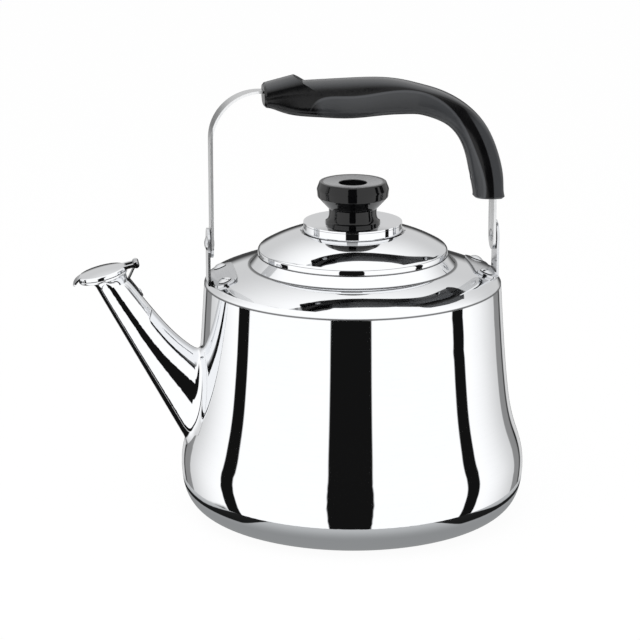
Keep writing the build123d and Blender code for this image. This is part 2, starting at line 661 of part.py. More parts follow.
def lid_region(inset):
    edge = LID_R - inset
    edge_z = arc_height(LID_ARC, edge, inset)
    crown = arc_height(LID_ARC, CROWN_R, inset)
    middle = (edge + CROWN_R) / 2
    region = make_face(
        Curve()
        + Polyline(
            (CROWN_R, crown), (SEAT_R, seat_z - inset), (0, seat_z - inset), (0, lid_low),
            (edge, lid_low), (edge, edge_z),
        )
        + ThreePointArc((edge, edge_z), (middle, arc_height(LID_ARC, middle, inset)), (CROWN_R, crown))
    )
    rim = region.vertices().sort_by_distance((edge, edge_z))[0]
    return revolve(Plane.XZ * fillet(rim, RIM_ROUND - inset), Axis.Z)


lid_inner = lid_region(SHEET)
lid_hem = tube(LID_R, LID_R - HEM_WIDTH, lid_low, lid_low + SHEET)
lid_hole = rod(SCREW_R + SLIP, lid_low, crown_z)
skirt_r = MOUTH_R - SKIRT_GAP
skirt_blank = tube(skirt_r, skirt_r - SHEET, collar_top - SKIRT_DEPTH, crown_z)
lid_region_low = rod(skirt_r + SHEET, collar_top - SKIRT_DEPTH, lid_low)
keep("lid_shell", lid_region(0) - lid_inner + lid_hem - lid_hole)
keep("lid_skirt", skirt_blank & (lid_inner + lid_region_low))

# Knob dish: pressed steel, flat in the middle, with an upright rim and an in-turned flange
dish_top = seat_z + DISH_HEIGHT
dish_flat = dish_top - DISH_LIP


def dish_region(inset):
    edge = DISH_R - inset
    low = seat_z + inset
    k = DISH_ROUND - inset
    return turned(
        Polyline((edge - k, low), (0, low), (0, dish_flat - inset), (DISH_FLAT_R, dish_flat - inset)),
        Polyline((DISH_FLAT_R, dish_flat - inset), (edge, dish_top - inset), (edge, low + k)),
        RadiusArc((edge, low + k), (edge - k, low), k),
    )


dish_bore = rod(DISH_FLANGE_R, seat_z, seat_z + THIN_SHEET)
dish_hole = rod(SCREW_R + SLIP, seat_z, dish_top)
keep("knob_disc", dish_region(0) - dish_region(THIN_SHEET) - dish_bore - dish_hole)

# Knob: turned moulding with a waisted neck and a recess for the screw head
knob_low = dish_flat
knob_top = knob_low + KNOB_HEIGHT
head_low = knob_top - KNOB_HEAD_HEIGHT
neck_top = knob_low + KNOB_NECK_HEIGHT
recess_z = knob_top - KNOB_RECESS_DEPTH
foot_top = knob_low + KNOB_FOOT_HEIGHT
chamfer_low = knob_top - KNOB_CHAMFER
dished_z = knob_top - KNOB_TOP_DISH
flank_r = KNOB_HEAD_R - KNOB_HEAD_TAPER
bore_r = SCREW_R + SLIP
dish_middle = ((KNOB_TOP_R + KNOB_RECESS_R) / 2, (knob_top + dished_z) / 2 - KNOB_TOP_SAG)
knob_body = make_face(
    Curve()
    + Polyline((bore_r, recess_z), (bore_r, knob_low), (KNOB_FOOT_R, knob_low), (KNOB_FOOT_R, foot_top))
    + Bezier(
        (KNOB_FOOT_R, foot_top), (KNOB_NECK_R, foot_top + KNOB_FOOT_HEIGHT),
        (KNOB_NECK_R - KNOB_WAIST, (foot_top + neck_top) / 2), (KNOB_NECK_R, neck_top),
    )
    + Polyline(
        (KNOB_NECK_R, neck_top), (flank_r, head_low), (KNOB_HEAD_R, chamfer_low), (KNOB_TOP_R, knob_top)
    )
    + ThreePointArc((KNOB_TOP_R, knob_top), dish_middle, (KNOB_RECESS_R, dished_z))
    + Polyline((KNOB_RECESS_R, dished_z), (KNOB_RECESS_R, recess_z), (bore_r, recess_z))
)
for point, radius in (
    ((flank_r, head_low), KNOB_ROUND),
    ((KNOB_HEAD_R, chamfer_low), KNOB_SIDE_ROUND),
    ((KNOB_TOP_R, knob_top), KNOB_TOP_ROUND),
    ((KNOB_RECESS_R, dished_z), KNOB_RECESS_ROUND),
):
    knob_body = fillet(knob_body.vertices().sort_by_distance((*point, 0))[0], radius)
keep("knob", revolve(Plane.XZ * knob_body, Axis.Z))

# Knob fastening: slotted screw from the recess, washer and nut under the lid
washer_top = seat_z - SHEET
nut_top = washer_top - WASHER_THICK
screw_end = nut_top - NUT_HEIGHT - SCREW_END
screw_top = recess_z + SCREW_HEAD_HEIGHT
screw_head = rod(SCREW_HEAD_R, recess_z, screw_top)
screw_head = fillet(screw_head.edges().group_by(Axis.Z)[-1], SCREW_HEAD_ROUND)
screw_head -= Pos(0, 0, screw_top) * Box(3 * SCREW_HEAD_R, SCREW_SLOT, 2 * SCREW_SLOT)
keep("knob_screw", screw_head + rod(SCREW_R, screw_end, recess_z))
keep("knob_washer", tube(WASHER_R, SCREW_R + SLIP, nut_top, washer_top))
nut_blank = Pos(0, 0, nut_top - NUT_HEIGHT) * extrude(
    RegularPolygon(NUT_FLATS / 2, 6, major_radius=False), NUT_HEIGHT
)
keep("knob_nut", nut_blank - rod(SCREW_R + SLIP, screw_end, nut_top))


# Spout cap, drawn on the mouth's own frame: X towards the hinge, Z out of the mouth
def cap_region(inset):
    rise = CAP_CROWN - RUN_GAP - CAP_SKIRT - CAP_ROUND
    ball = (CAP_R * CAP_R + rise * rise) / (2 * rise)
    centre = CAP_CROWN - ball
    edge = CAP_R - inset

    def sphere_z(r):
        return centre + sqrt((ball - inset) ** 2 - r * r)

    region = make_face(
        Curve()
        + Polyline((0, CAP_CROWN - inset), (0, RUN_GAP), (edge, RUN_GAP), (edge, sphere_z(edge)))
        + ThreePointArc((edge, sphere_z(edge)), (edge / 2, sphere_z(edge / 2)), (0, CAP_CROWN - inset))
    )
    rim = region.vertices().sort_by_distance((edge, sphere_z(edge), 0))[0]
    return revolve(Plane.XZ * fillet(rim, CAP_ROUND - inset), Axis.Z)


def finger_tab():
    """Strip that runs out of the cap's rim and bends down for the finger."""
    root, tip = [radians(angle) for angle in TAB_ANGLES]
    x = -CAP_R + TAB_START + TAB_BEND * sin(root)
    z = TAB_Z - TAB_BEND * cos(root)
    inner = TAB_BEND - TAB_THICK

    def on_bend(r, angle):
        return x - r * sin(angle), z + r * cos(angle)

    band = profile(
        ThreePointArc(on_bend(TAB_BEND, root), on_bend(TAB_BEND, (root + tip) / 2), on_bend(TAB_BEND, tip)),
        Line(on_bend(TAB_BEND, tip), on_bend(inner, tip)),
        ThreePointArc(on_bend(inner, tip), on_bend(inner, (root + tip) / 2), on_bend(inner, root)),
        Line(on_bend(inner, root), on_bend(TAB_BEND, root)),
    )
    tab = extrude(band, TAB_WIDTH / 2, both=True)
    corners = tab.edges().filter_by(lambda e: e.length < 2 * TAB_THICK).group_by(Axis.Z)[0]
    return fillet(corners, TAB_ROUND)


ear_low = LEAF_WIDTH / 2 + RUN_GAP
pin_spot = Pos(HINGE_REACH, 0, HINGE_Z) * Rot(90, 0, 0)


def cap_ears():
    ears = []
    for side in (-1, 1):
        y = side * (ear_low + EAR_WIDTH / 2)
        knuckle = Pos(HINGE_REACH, y, HINGE_Z) * Rot(90, 0, 0) * Cylinder(KNUCKLE_R, EAR_WIDTH)
        reach = HINGE_OUT + EAR_ROOT
        arm = Pos(HINGE_REACH - reach / 2, y, HINGE_Z) * Box(reach, EAR_WIDTH, KNUCKLE_R)
        ears += [knuckle, arm]
    return ears


cap_inner = cap_region(THIN_SHEET)
cap = cap_region(0) + finger_tab()
for ear in cap_ears():
    cap += ear
cap -= cap_inner
cap -= pin_spot * Cylinder(PIN_R + SLIP, 4 * HINGE_REACH)
cap -= Pos(-CAP_R, 0, RUN_GAP) * Box(4 * THIN_SHEET, STEAM_SLOT, 2 * STEAM_NOTCH)
keep("spout_cap", MOUTH * cap)

# Whistle: a cup under the cap and a plate across it, each with a hole
cup = rod(WHISTLE_R, -WHISTLE_DROP, CAP_CROWN) - rod(
    WHISTLE_R - THIN_SHEET, -WHISTLE_DROP + THIN_SHEET, CAP_CROWN
)
cup &= cap_inner + rod(WHISTLE_R, -WHISTLE_DROP, RUN_GAP)
cup -= rod(WHISTLE_HOLE_R, -WHISTLE_DROP, 0)
cup -= Pos(-WHISTLE_R, 0, CAP_CROWN) * Box(6 * THIN_SHEET, STEAM_SLOT, 2 * CUP_NOTCH)
plate_r = WHISTLE_R - THIN_SHEET - FACE_GAP
keep("whistle_cup", MOUTH * cup)
keep("whistle_plate", MOUTH * tube(plate_r, WHISTLE_HOLE_R, PLATE_Z, PLATE_Z + THIN_SHEET))

# Hinge: a leaf welded along the spout's ridge, and the pin through its knuckle
pin_half = ear_low + EAR_WIDTH + RUN_GAP
pin = Cylinder(PIN_R, 2 * pin_half)
for side in (-1, 1):
    pin += Pos(0, 0, side * (pin_half + PIN_R / 2)) * Cylinder(PIN_HEAD_R, PIN_R)
keep("cap_hinge_pin", MOUTH * pin_spot * pin)

pin_point = MOUTH.from_local_coords((HINGE_REACH, 0, HINGE_Z))
ridge_lean = radians(SPOUT_LEAN + RIDGE_TURN)
half_leaf = LEAF_THICK / 2
ridge_x = pin_point.X - LEAF_BACK
ridge_z = needle(spout_outer, ridge_x, pin_point.Z, False).max.Z
foot_end = (ridge_x + LEAF_FOOT * sin(ridge_lean), ridge_z - LEAF_FOOT * cos(ridge_lean))
leaf_outline = profile(
    Polyline(
        (pin_point.X - half_leaf, pin_point.Z),
        (ridge_x - half_leaf, ridge_z),
        (ridge_x - half_leaf, ridge_z - 2 * LEAF_THICK),
        (foot_end[0] - 2 * LEAF_THICK, foot_end[1] - LEAF_THICK),
        (foot_end[0] + LEAF_THICK, foot_end[1] + half_leaf),
        (ridge_x + LEAF_THICK, ridge_z + LEAF_THICK),
        (pin_point.X + half_leaf, pin_point.Z),
        close=True,
    )
)
leaf = extrude(leaf_outline, LEAF_WIDTH / 2, both=True)
leaf += MOUTH * pin_spot * Cylinder(KNUCKLE_R, LEAF_WIDTH)
leaf -= MOUTH * pin_spot * Cylinder(PIN_R + SLIP, 2 * LEAF_WIDTH)
keep("spout_hinge_leaf", leaf - spout_outer)

os.makedirs("parts", exist_ok=True)
for name, shape in NODES.items():
    export_step(shape, f"parts/{name}.step")
    print(name, len(shape.solids()), round(shape.volume, 1))
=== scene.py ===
# %% [markdown]
# # A whistling kettle in Blender
# The kettle's sheet-metal and moulded parts come ready-made from the construction model. This
# lesson sets up the camera and a small studio round them, gives every part the finish of the real
# one, and models the small details that a maker adds last. Lengths are in metres.

# %% Load the kettle
from math import cos, pi, radians, sin

import bpy
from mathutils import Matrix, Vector


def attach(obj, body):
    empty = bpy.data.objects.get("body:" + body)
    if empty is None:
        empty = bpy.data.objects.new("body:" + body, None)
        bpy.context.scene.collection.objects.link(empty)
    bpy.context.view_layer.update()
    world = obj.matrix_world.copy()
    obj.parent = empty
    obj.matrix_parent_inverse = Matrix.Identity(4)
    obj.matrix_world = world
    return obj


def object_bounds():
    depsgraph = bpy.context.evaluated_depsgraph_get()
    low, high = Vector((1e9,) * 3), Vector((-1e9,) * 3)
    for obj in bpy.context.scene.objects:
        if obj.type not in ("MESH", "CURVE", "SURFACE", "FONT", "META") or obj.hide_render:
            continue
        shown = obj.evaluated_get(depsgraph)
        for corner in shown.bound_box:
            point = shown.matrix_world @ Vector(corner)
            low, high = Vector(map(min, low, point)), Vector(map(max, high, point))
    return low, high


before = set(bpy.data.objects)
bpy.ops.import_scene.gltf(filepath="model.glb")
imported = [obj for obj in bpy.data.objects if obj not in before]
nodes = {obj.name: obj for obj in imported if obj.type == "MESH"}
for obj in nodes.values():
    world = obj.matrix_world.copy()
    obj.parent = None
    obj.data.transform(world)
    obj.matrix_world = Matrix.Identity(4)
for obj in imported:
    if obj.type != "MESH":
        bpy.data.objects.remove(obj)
cad_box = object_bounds()
print("kettle parts:", len(nodes))
print("box in metres:", [[round(v, 4) for v in corner] for corner in cad_box])

# %% [markdown]
# ## The camera
# The photograph was taken a little above the lid, from the front and slightly from the spout's
# side, with a long lens: the pot's rim and foot look almost equally open. A camera could be placed
# by eye, but an angle, a distance and a focal length are easier to check. The aim lies a little to
# one side of the pot's middle, because the kettle stands right of the picture's centre.

# %% Camera at the photograph's angle
VIEW_TURN = radians(-8)
VIEW_TILT = radians(15.591)
VIEW_DISTANCE = 1.7
VIEW_HEIGHT = 0.123214
VIEW_SIDE = 0.0207
LENS = 149.86
SENSOR = 36
to_camera = Vector((sin(VIEW_TURN), -cos(VIEW_TURN), 0))
to_right = Vector((cos(VIEW_TURN), sin(VIEW_TURN), 0))
middle = Vector((0, 0, VIEW_HEIGHT))
spot = middle + VIEW_DISTANCE * (to_camera * cos(VIEW_TILT) + Vector((0, 0, sin(VIEW_TILT))))
aim = middle - VIEW_SIDE * to_right

camera_data = bpy.data.cameras.new("camera")
camera_data.lens = LENS
camera_data.sensor_width = SENSOR
camera = bpy.data.objects.new("camera", camera_data)
camera.location = spot
camera.rotation_euler = (aim - spot).to_track_quat("-Z", "Y").to_euler()
bpy.context.scene.collection.objects.link(camera)
bpy.context.scene.camera = camera
bpy.context.scene.view_settings.view_transform = "Standard"
print("camera at", [round(v, 3) for v in spot])

# %% [markdown]
# ## Shader maths in plain Python
# A node tree is a formula. Wiring each Math node by hand hides the formula, so one small class
# wraps an output socket: Python's operators add the Math nodes, and one method adds any other
# node.

# %% A socket that understands arithmetic
class Wire:
    """An output socket of a node tree; arithmetic on it adds Math nodes."""

    def __init__(self, tree, socket=None):
        self.tree = tree
        self.socket = socket

    def feed(self, socket, value):
        """Links a wire to an input socket, or sets the socket to a plain value."""
        if isinstance(value, Wire):
            self.tree.links.new(value.socket, socket)
        else:
            socket.default_value = value

    def node(self, kind, settings=None, sockets=None, output=0):
        """Adds a node, sets it up, feeds its sockets and returns one output, if it has any."""
        made = self.tree.nodes.new(kind)
        for name, value in (settings or {}).items():
            setattr(made, name, value)
        for name, value in (sockets or {}).items():
            self.feed(made.inputs[name], value)
        return Wire(self.tree, made.outputs[output]) if made.outputs else None

    def math(self, operation, *values):
        return self.node("ShaderNodeMath", {"operation": operation}, dict(enumerate(values)))

    def __add__(self, other):
        return self.math("ADD", self, other)

    def __sub__(self, other):
        return self.math("SUBTRACT", self, other)

    def __rsub__(self, other):
        return self.math("SUBTRACT", other, self)

    def __mul__(self, other):
        return self.math("MULTIPLY", self, other)

    __radd__ = __add__
    __rmul__ = __mul__

    def rise(self, low, high):
        """0 below low, 1 above high, and a smooth slope between."""
        return self.node(
            "ShaderNodeMapRange",
            {"interpolation_type": "SMOOTHSTEP"},
            {"Value": self, "From Min": low, "From Max": high},
        )

    def between(self, low, high, soft):
        """1 from low to high, fading out over soft on either side."""
        return self.rise(low - soft, low + soft) * (1 - self.rise(high - soft, high + soft))

    def mix(self, first, second):
        """A colour between two colours, with this value as the factor."""
        return self.node(
            "ShaderNodeMix", {"data_type": "RGBA"}, {0: self, 6: first, 7: second}, output=2
        )

    def axes(self):
        """The x, y and z of a vector."""
        return [self.node("ShaderNodeSeparateXYZ", sockets={0: self}, output=k) for k in range(3)]

    def noise(self, scale, detail=2.0):
        """Noise read at this place."""
        return self.node(
            "ShaderNodeTexNoise", sockets={"Vector": self, "Scale": scale, "Detail": detail}
        )

    def distance(self, x, y):
        """How far a place lies from the axis that x and y are measured from."""
        return self.math("SQRT", x * x + y * y)


print("shader helper ready")

# %% [markdown]
# ## The studio that the steel mirrors
# Polished steel has hardly a colour of its own: what the eye sees is the room. The dark stripes in
# the photograph look like narrow black boards in a white tent, in front of the pot, at both sides
# and low behind it. They make the metal look like metal. They could be modelled as cards, but
# cards near the pot mirror differently in every part. Painted into the surroundings by direction,
# they stay upright in all of them.

# %% Directions in the tent
DEGREES = 180 / pi


def turn_from_camera(wire, x, y):
    """The angle in degrees of a direction or a place to the right of the camera's side."""
    rightward = x * to_right.x + y * to_right.y
    nearward = x * to_camera.x + y * to_camera.y
    return wire.math("ARCTAN2", rightward, nearward) * DEGREES


world = bpy.data.worlds.new("studio")
bpy.context.scene.world = world
world.use_nodes = True
world.node_tree.nodes.clear()
sky = Wire(world.node_tree)
sky_x, sky_y, sky_z = sky.node("ShaderNodeTexCoord", output="Generated").axes()
turn = turn_from_camera(sky, sky_x, sky_y)
aside = sky.math("ABSOLUTE", turn)
height = sky.math("ARCSINE", sky_z) * DEGREES
print("nodes for directions:", len(world.node_tree.nodes))

# %% Black boards
# Angles are in degrees. An upright board has two edges and a stretch of height where its top fades.
UPRIGHT_BOARDS = {
    "front": ((-16.2, 14.2), (33, 58)),
    "left": ((-96.2, -84.4), (8, 26)),
    "right": ((81.6, 92.8), (20, 34)),
}
UPRIGHT_SOFT = 0.6
BACK_EDGE, BACK_HEIGHT, BACK_FADE = (168, 173), (-60, -9), 4
FAR_EDGE, FAR_HEIGHT, FAR_FADE = (146, 166), (-9, 5), 5
BEHIND_DARK = 0.93
PAIR_SOFT, PAIR_HEIGHT, PAIR_FADE = 1, (-38, -2), 5
THIN_EDGES, THIN_DARK = (151, 156), 0.9
GREY_EDGES, GREY_DARK = (138, 151), 0.6
LOW_EDGES, LOW_SOFT, LOW_HEIGHT, LOW_FADE = (-166, -98), 4, (-58, -27), 2

boards = 0
for edges, top in UPRIGHT_BOARDS.values():
    boards = boards + turn.between(*edges, UPRIGHT_SOFT) * (1 - height.rise(*top))
boards = boards + aside.rise(*BACK_EDGE) * height.between(*BACK_HEIGHT, BACK_FADE) * BEHIND_DARK
boards = boards + aside.rise(*FAR_EDGE) * height.between(*FAR_HEIGHT, FAR_FADE) * BEHIND_DARK
for edges, dark in ((THIN_EDGES, THIN_DARK), (GREY_EDGES, GREY_DARK)):
    board = aside.between(*edges, PAIR_SOFT) * height.between(*PAIR_HEIGHT, PAIR_FADE)
    boards = boards + board * dark
boards = boards + turn.between(*LOW_EDGES, LOW_SOFT) * height.between(*LOW_HEIGHT, LOW_FADE)
print("upright boards:", len(UPRIGHT_BOARDS))

# %% [markdown]
# ## Who sees the boards
# The tent is a little dimmer behind the pot, which gives its outline a soft edge. Only mirrored
# rays see tent and boards. The camera itself sees plain white, and what lights the dull surfaces
# is even.

# %% White tent
TENT = 1.14
BOARD = 0.007
DUSK, DUSK_ASIDE, DUSK_HEIGHT, DUSK_FADE = 0.42, (95, 145), (-44, 40), 20
DIFFUSE_SKY = 0.62
RAYS = ("Is Camera Ray", "Is Glossy Ray", "Is Transmission Ray")

open_tent = 1 - sky.math("MINIMUM", boards, 1.0)
dusk = aside.rise(*DUSK_ASIDE) * height.between(*DUSK_HEIGHT, DUSK_FADE)
mirrored = BOARD + open_tent * TENT * (1 - DUSK * dusk)
seen, glossy, passing = [sky.node("ShaderNodeLightPath", output=ray) for ray in RAYS]
mirror_ray = sky.math("MAXIMUM", glossy, passing)
strength = seen + (1 - seen) * (DIFFUSE_SKY + mirror_ray * (mirrored - DIFFUSE_SKY))
background = sky.node("ShaderNodeBackground", sockets={"Color": (1, 1, 1, 1), "Strength": strength})
sky.node("ShaderNodeOutputWorld", sockets={"Surface": background})
print("world nodes:", len(world.node_tree.nodes))

# %% [markdown]
# ## Floor and lamp
# The kettle stands on a plain pale floor. A white floor can be had with a very strong lamp, but
# that would bleach the kettle too. Here the floor shines white mostly of itself, and a smaller
# part of it is lit, so that it still takes the kettle's soft shadow. One large lamp overhead gives
# that shadow.

# %% Pale floor
FLOOR_SIZE = 14
FLOOR_PAINT = (0.86, 0.86, 0.86, 1)
FLOOR_SHINE = 1.03
FLOOR_GLOW = 0.92
floor_height = cad_box[0][2]


def bare(name):
    """A new material without any node, and the wire that adds its nodes."""
    material = bpy.data.materials.new(name)
    material.use_nodes = True
    material.node_tree.nodes.clear()
    return material, Wire(material.node_tree)


bpy.ops.object.select_all(action="DESELECT")
bpy.ops.mesh.primitive_plane_add(size=FLOOR_SIZE, location=(0, 0, floor_height))
floor = bpy.context.active_object
floor.name = "floor"
floor.visible_glossy = False

floor_finish, ground = bare("pale_floor")
lit = ground.node("ShaderNodeBsdfDiffuse", sockets={"Color": FLOOR_PAINT})
glow = ground.node("ShaderNodeEmission", sockets={"Strength": FLOOR_SHINE})
to_eye = ground.node("ShaderNodeLightPath", output="Is Camera Ray")
surface = ground.node("ShaderNodeMixShader", sockets={0: to_eye * FLOOR_GLOW, 1: lit, 2: glow})
ground.node("ShaderNodeOutputMaterial", sockets={"Surface": surface})
floor.data.materials.append(floor_finish)
print("floor at", round(floor_height, 4))

# %% One soft lamp
LAMP_SIZE = 1.3
LAMP_WATTS = 6.5
LAMP_SPOT = (-0.35, -0.5, 1.45)
lamp_data = bpy.data.lights.new("soft_lamp", "AREA")
lamp_data.shape = "DISK"
lamp_data.size = LAMP_SIZE
lamp_data.energy = LAMP_WATTS
lamp = bpy.data.objects.new("soft_lamp", lamp_data)
lamp.location = LAMP_SPOT
lamp.rotation_euler = (middle - lamp.location).to_track_quat("-Z", "Y").to_euler()
lamp.visible_glossy = False
bpy.context.scene.collection.objects.link(lamp)
print("lamp of", LAMP_WATTS, "watts")

# %% [markdown]
# ## The painted shadow that the pot's foot mirrors
# Close to the pot the floor lies in the pot's own shade, and the rounded foot mirrors it as a grey
# band, with darker arcs at the sides. The floor itself could carry that shade, but then the camera
# would see it too. So the shade is painted, as a glow, on a thin disc that only mirrored rays can
# see, and the two are kept apart.

# %% Disc of painted shadow for mirrored rays
SHADE_DISC_R = 0.137
SHADE_DISC_SIDES = 128
bpy.ops.object.select_all(action="DESELECT")
bpy.ops.mesh.primitive_circle_add(
    vertices=SHADE_DISC_SIDES, radius=SHADE_DISC_R, fill_type="NGON", location=(0, 0, floor_height)
)
painted_shade_disc = bpy.context.active_object
painted_shade_disc.name = "painted_shade_disc"
painted_shade_disc.visible_camera = painted_shade_disc.visible_diffuse = painted_shade_disc.visible_shadow = painted_shade_disc.visible_transmission = False
print("mat radius:", SHADE_DISC_R)

# %% Painted grey shade and darker painted arcs
# An arc lies between two radii; both change with the turn from the camera, in degrees.
ARC_OUTER, ARC_DRAWN_IN, DRAWN_IN_AT = 0.138, 0.011, (48, 76)
ARC_INNER, ARC_CLOSED, CLOSED_AT = 0.119, 0.018, (33, 47)
ARC_SOFT = 0.001
ARC_DARK = 0.97
SHADE_TINT = (0.97, 0.99, 1, 1)
GREY, GREY_RISE, GREY_RISE_AT = 0.3, 0.24, (0.112, SHADE_DISC_R)

shade_disc_finish, shade = bare("painted_floor_shade")
disc_x, disc_y, _ = shade.node("ShaderNodeTexCoord", output="Object").axes()
disc_ring = shade.distance(disc_x, disc_y)
disc_turn = shade.math("ABSOLUTE", turn_from_camera(shade, disc_x, disc_y))
arc_out = ARC_OUTER - ARC_DRAWN_IN * disc_turn.rise(*DRAWN_IN_AT)
arc_in = ARC_INNER + ARC_CLOSED * (1 - disc_turn.rise(*CLOSED_AT))
within = (arc_out - disc_ring).rise(-ARC_SOFT, ARC_SOFT)
arcs = (disc_ring - arc_in).rise(-ARC_SOFT, ARC_SOFT) * within
painted_shade_grey = GREY + GREY_RISE * disc_ring.rise(*GREY_RISE_AT)
# Painted shadow: the disc glows grey where the pot's shade would lie on the floor, and darker along
# the arcs.
painted_shade_glow = shade.node(
    "ShaderNodeEmission", sockets={"Color": SHADE_TINT, "Strength": painted_shade_grey * (1 - ARC_DARK * arcs)}
)
shade.node("ShaderNodeOutputMaterial", sockets={"Surface": painted_shade_glow})
painted_shade_disc.data.materials.append(shade_disc_finish)
print("mat nodes:", len(shade_disc_finish.node_tree.nodes))

# %% [markdown]
# ## Steel finishes
# The pot, dome, lid, dish and spout are mirror-polished stainless sheet. A polishing wheel leaves
# hair lines that follow the turning part, and hands leave faint clouds, so the roughness is never
# one number. On a turned part the lines run round the axis: noise is read at the angle, the radius
# and the height, and stretched along the angle. On a drawn part, like a strap, they run along its
# length. Joints and nooks get thin dark lines of painted shade, found by ambient occlusion, and
# the given seam heights get lines of painted shade as well.

# %% How steel is made up
HAIR_FINE, HAIR_LONG, HAIR_ROUND = 900.0, 30.0, 6
HAIR_TINT, HAIR_ROUGH = (0.3, 0.7), (0.45, 0.75)
CLOUD_SCALE, CLOUD_DETAIL, CLOUD_WORN = 26.0, 3.0, (0.35, 0.7)
# The colour of the painted shade in nooks and along seams.
PAINTED_SHADE = (0.05, 0.05, 0.052, 1)
NOOK_REACH, NOOK_OPEN, NOOK_DARK, NOOK_SAMPLES = 0.0022, (0.3, 0.75), 0.9, 8
SEAM_DARK, SEAM_ROUGH = 0.85, 0.3
BUMP_DEPTH = 0.0002


def start(name):
    """A new node material: its wire, the piece's own coordinates and its Principled shader."""
    material = bpy.data.materials.new(name)
    material.use_nodes = True
    wire = Wire(material.node_tree)
    place = wire.node("ShaderNodeTexCoord", output="Object")
    return material, wire, place, material.node_tree.nodes["Principled BSDF"]


def connect(wire, shader, **values):
    """Feeds sockets of the shader by name, with _ for a space."""
    for name, value in values.items():
        wire.feed(shader.inputs[name.replace("_", " ")], value)


def bumps(wire, relief, strength):
    """A normal that follows a relief."""
    sockets = {"Height": relief, "Strength": strength, "Distance": BUMP_DEPTH}
    return wire.node("ShaderNodeBump", sockets=sockets)


def hair_lines(wire, place, lay):
    """Fine lines that run round the axis ("turned") or along one axis ("x", "y" or "z")."""
    x, y, z = place.axes()
    if lay == "turned":
        along = wire.math("ARCTAN2", y, x) * HAIR_ROUND
        spots = {0: along, 1: wire.distance(x, y) * HAIR_FINE, 2: z * HAIR_FINE}
    else:
        stretch = [HAIR_LONG if axis == lay else HAIR_FINE for axis in "xyz"]
        spots = {k: value * stretch[k] for k, value in enumerate((x, y, z))}
    return wire.node("ShaderNodeCombineXYZ", sockets=spots).noise(1.0)


def steel(name, lay, dark, light, sheen, lines, depth=0.0, seams=()):
    """Stainless steel. lay is the run of its fine lines, dark and light are its two tints, sheen
    is the lowest and highest roughness of the clouds, and lines and depth are what the hair lines
    add to roughness and relief. seams are heights and half widths of joints and rims that get a
    line of painted shade; ambient occlusion paints shade into nooks as well."""
    material, wire, place, shader = start(name)
    hair = hair_lines(wire, place, lay)
    worn = place.noise(CLOUD_SCALE, CLOUD_DETAIL).rise(*CLOUD_WORN)
    colour = (hair.rise(*HAIR_TINT) * 0.5 + worn * 0.5).mix((*light, 1), (*dark, 1))
    rough = sheen[0] + worn * (sheen[1] - sheen[0]) + hair.rise(*HAIR_ROUGH) * lines
    # Painted shade: ambient occlusion darkens the colour in joints and nooks.
    nook = wire.node(
        "ShaderNodeAmbientOcclusion",
        {"samples": NOOK_SAMPLES},
        {"Distance": NOOK_REACH},
        output="AO",
    )
    colour = (NOOK_DARK * (1 - nook.rise(*NOOK_OPEN))).mix(colour, PAINTED_SHADE)
    z = place.axes()[2]
    # Painted shade: a dark line at each seam height, where a joint or rim lies in shade; it
    # roughens the steel there too.
    for seam, half in seams:
        line = z.between(seam - half, seam + half, half * 0.5)
        colour = (line * SEAM_DARK).mix(colour, PAINTED_SHADE)
        rough = rough + line * SEAM_ROUGH
    connect(wire, shader, Metallic=1.0, Base_Color=colour, Roughness=rough)
    if depth:
        connect(wire, shader, Normal=bumps(wire, hair, depth))
    return material


print("steel is ready to be made")

# %% Mirror steel
MIRROR = {"dark": (0.858, 0.868, 0.884), "light": (0.874, 0.884, 0.9)}
TURNED_SHEEN = {"sheen": (0.016, 0.03), "lines": 0.006}
DRAWN_SHEEN = {"sheen": (0.02, 0.036), "lines": 0.008}
# Heights and half widths of the lines of painted shade at joints and rims.
POT_SEAMS = ((0.1494, 0.0005), (0.161, 0.0003))
LID_SEAMS = ((0.1679, 0.0003), (0.171, 0.00012), (0.18725, 0.00012))
mirror_turned = steel("mirror_steel_turned", "turned", **MIRROR, **TURNED_SHEEN, seams=LID_SEAMS)
mirror_seamed = steel("mirror_steel_seamed", "turned", **MIRROR, **TURNED_SHEEN, seams=POT_SEAMS)
mirror_drawn = steel("mirror_steel_drawn", "x", **MIRROR, **DRAWN_SHEEN)
print("mirror finishes:", [m.name for m in bpy.data.materials if "mirror" in m.name])

# %% Plainer metals
stamped = steel(
    "stamped_steel",
    "y",
    (0.6, 0.61, 0.63),
    (0.7, 0.71, 0.725),
    (0.09, 0.15),
    lines=0.04,
    depth=0.03,
)
strap_steel = steel(
    "strap_steel",
    "z",
    (0.72, 0.73, 0.74),
    (0.82, 0.825, 0.83),
    (0.16, 0.24),
    lines=0.06,
    depth=0.05,
)
rivet_steel = steel(
    "rivet_steel",
    "turned",
    (0.58, 0.59, 0.61),
    (0.72, 0.725, 0.735),
    (0.05, 0.1),
    lines=0.03,
)
zinc = steel(
    "zinc_plated_steel",
    "turned",
    (0.55, 0.57, 0.60),
    (0.70, 0.71, 0.72),
    (0.24, 0.36),
    lines=0.08,
    depth=0.05,
)
base_steel = steel(
    "base_steel",
    "turned",
    (0.56, 0.57, 0.58),
    (0.70, 0.705, 0.71),
    (0.22, 0.32),
    lines=0.12,
    depth=0.10,
)
disc_metal = steel(
    "rolled_aluminium",
    "turned",
    (0.62, 0.62, 0.62),
    (0.76, 0.76, 0.77),
    (0.34, 0.48),
    lines=0.10,
    depth=0.15,
)
print("steel finishes:", [m.name for m in bpy.data.materials if "steel" in m.name])

# %% [markdown]
# ## Black moulding
# Grip and knob are moulded in a black resin that stands the heat. The mould is polished, so they
# shine, but resin shrinks as it cools and leaves a very shallow orange peel that breaks up
# highlights, and the gloss is uneven where hands and cloths have been. The knob comes out of a
# better polished mould.

# %% Black resin
RESIN_DARK = (0.0035, 0.0035, 0.004, 1)
RESIN_LIGHT = (0.007, 0.007, 0.0075, 1)
HAZE_SCALE, HAZE_DETAIL, HAZE_EDGE = 40.0, 3.0, (0.38, 0.68)
PORE_SCALE, PORE_DETAIL, PORE_EDGE, PORE_ROUGH = 900.0, 1.0, (0.55, 0.8), 0.03


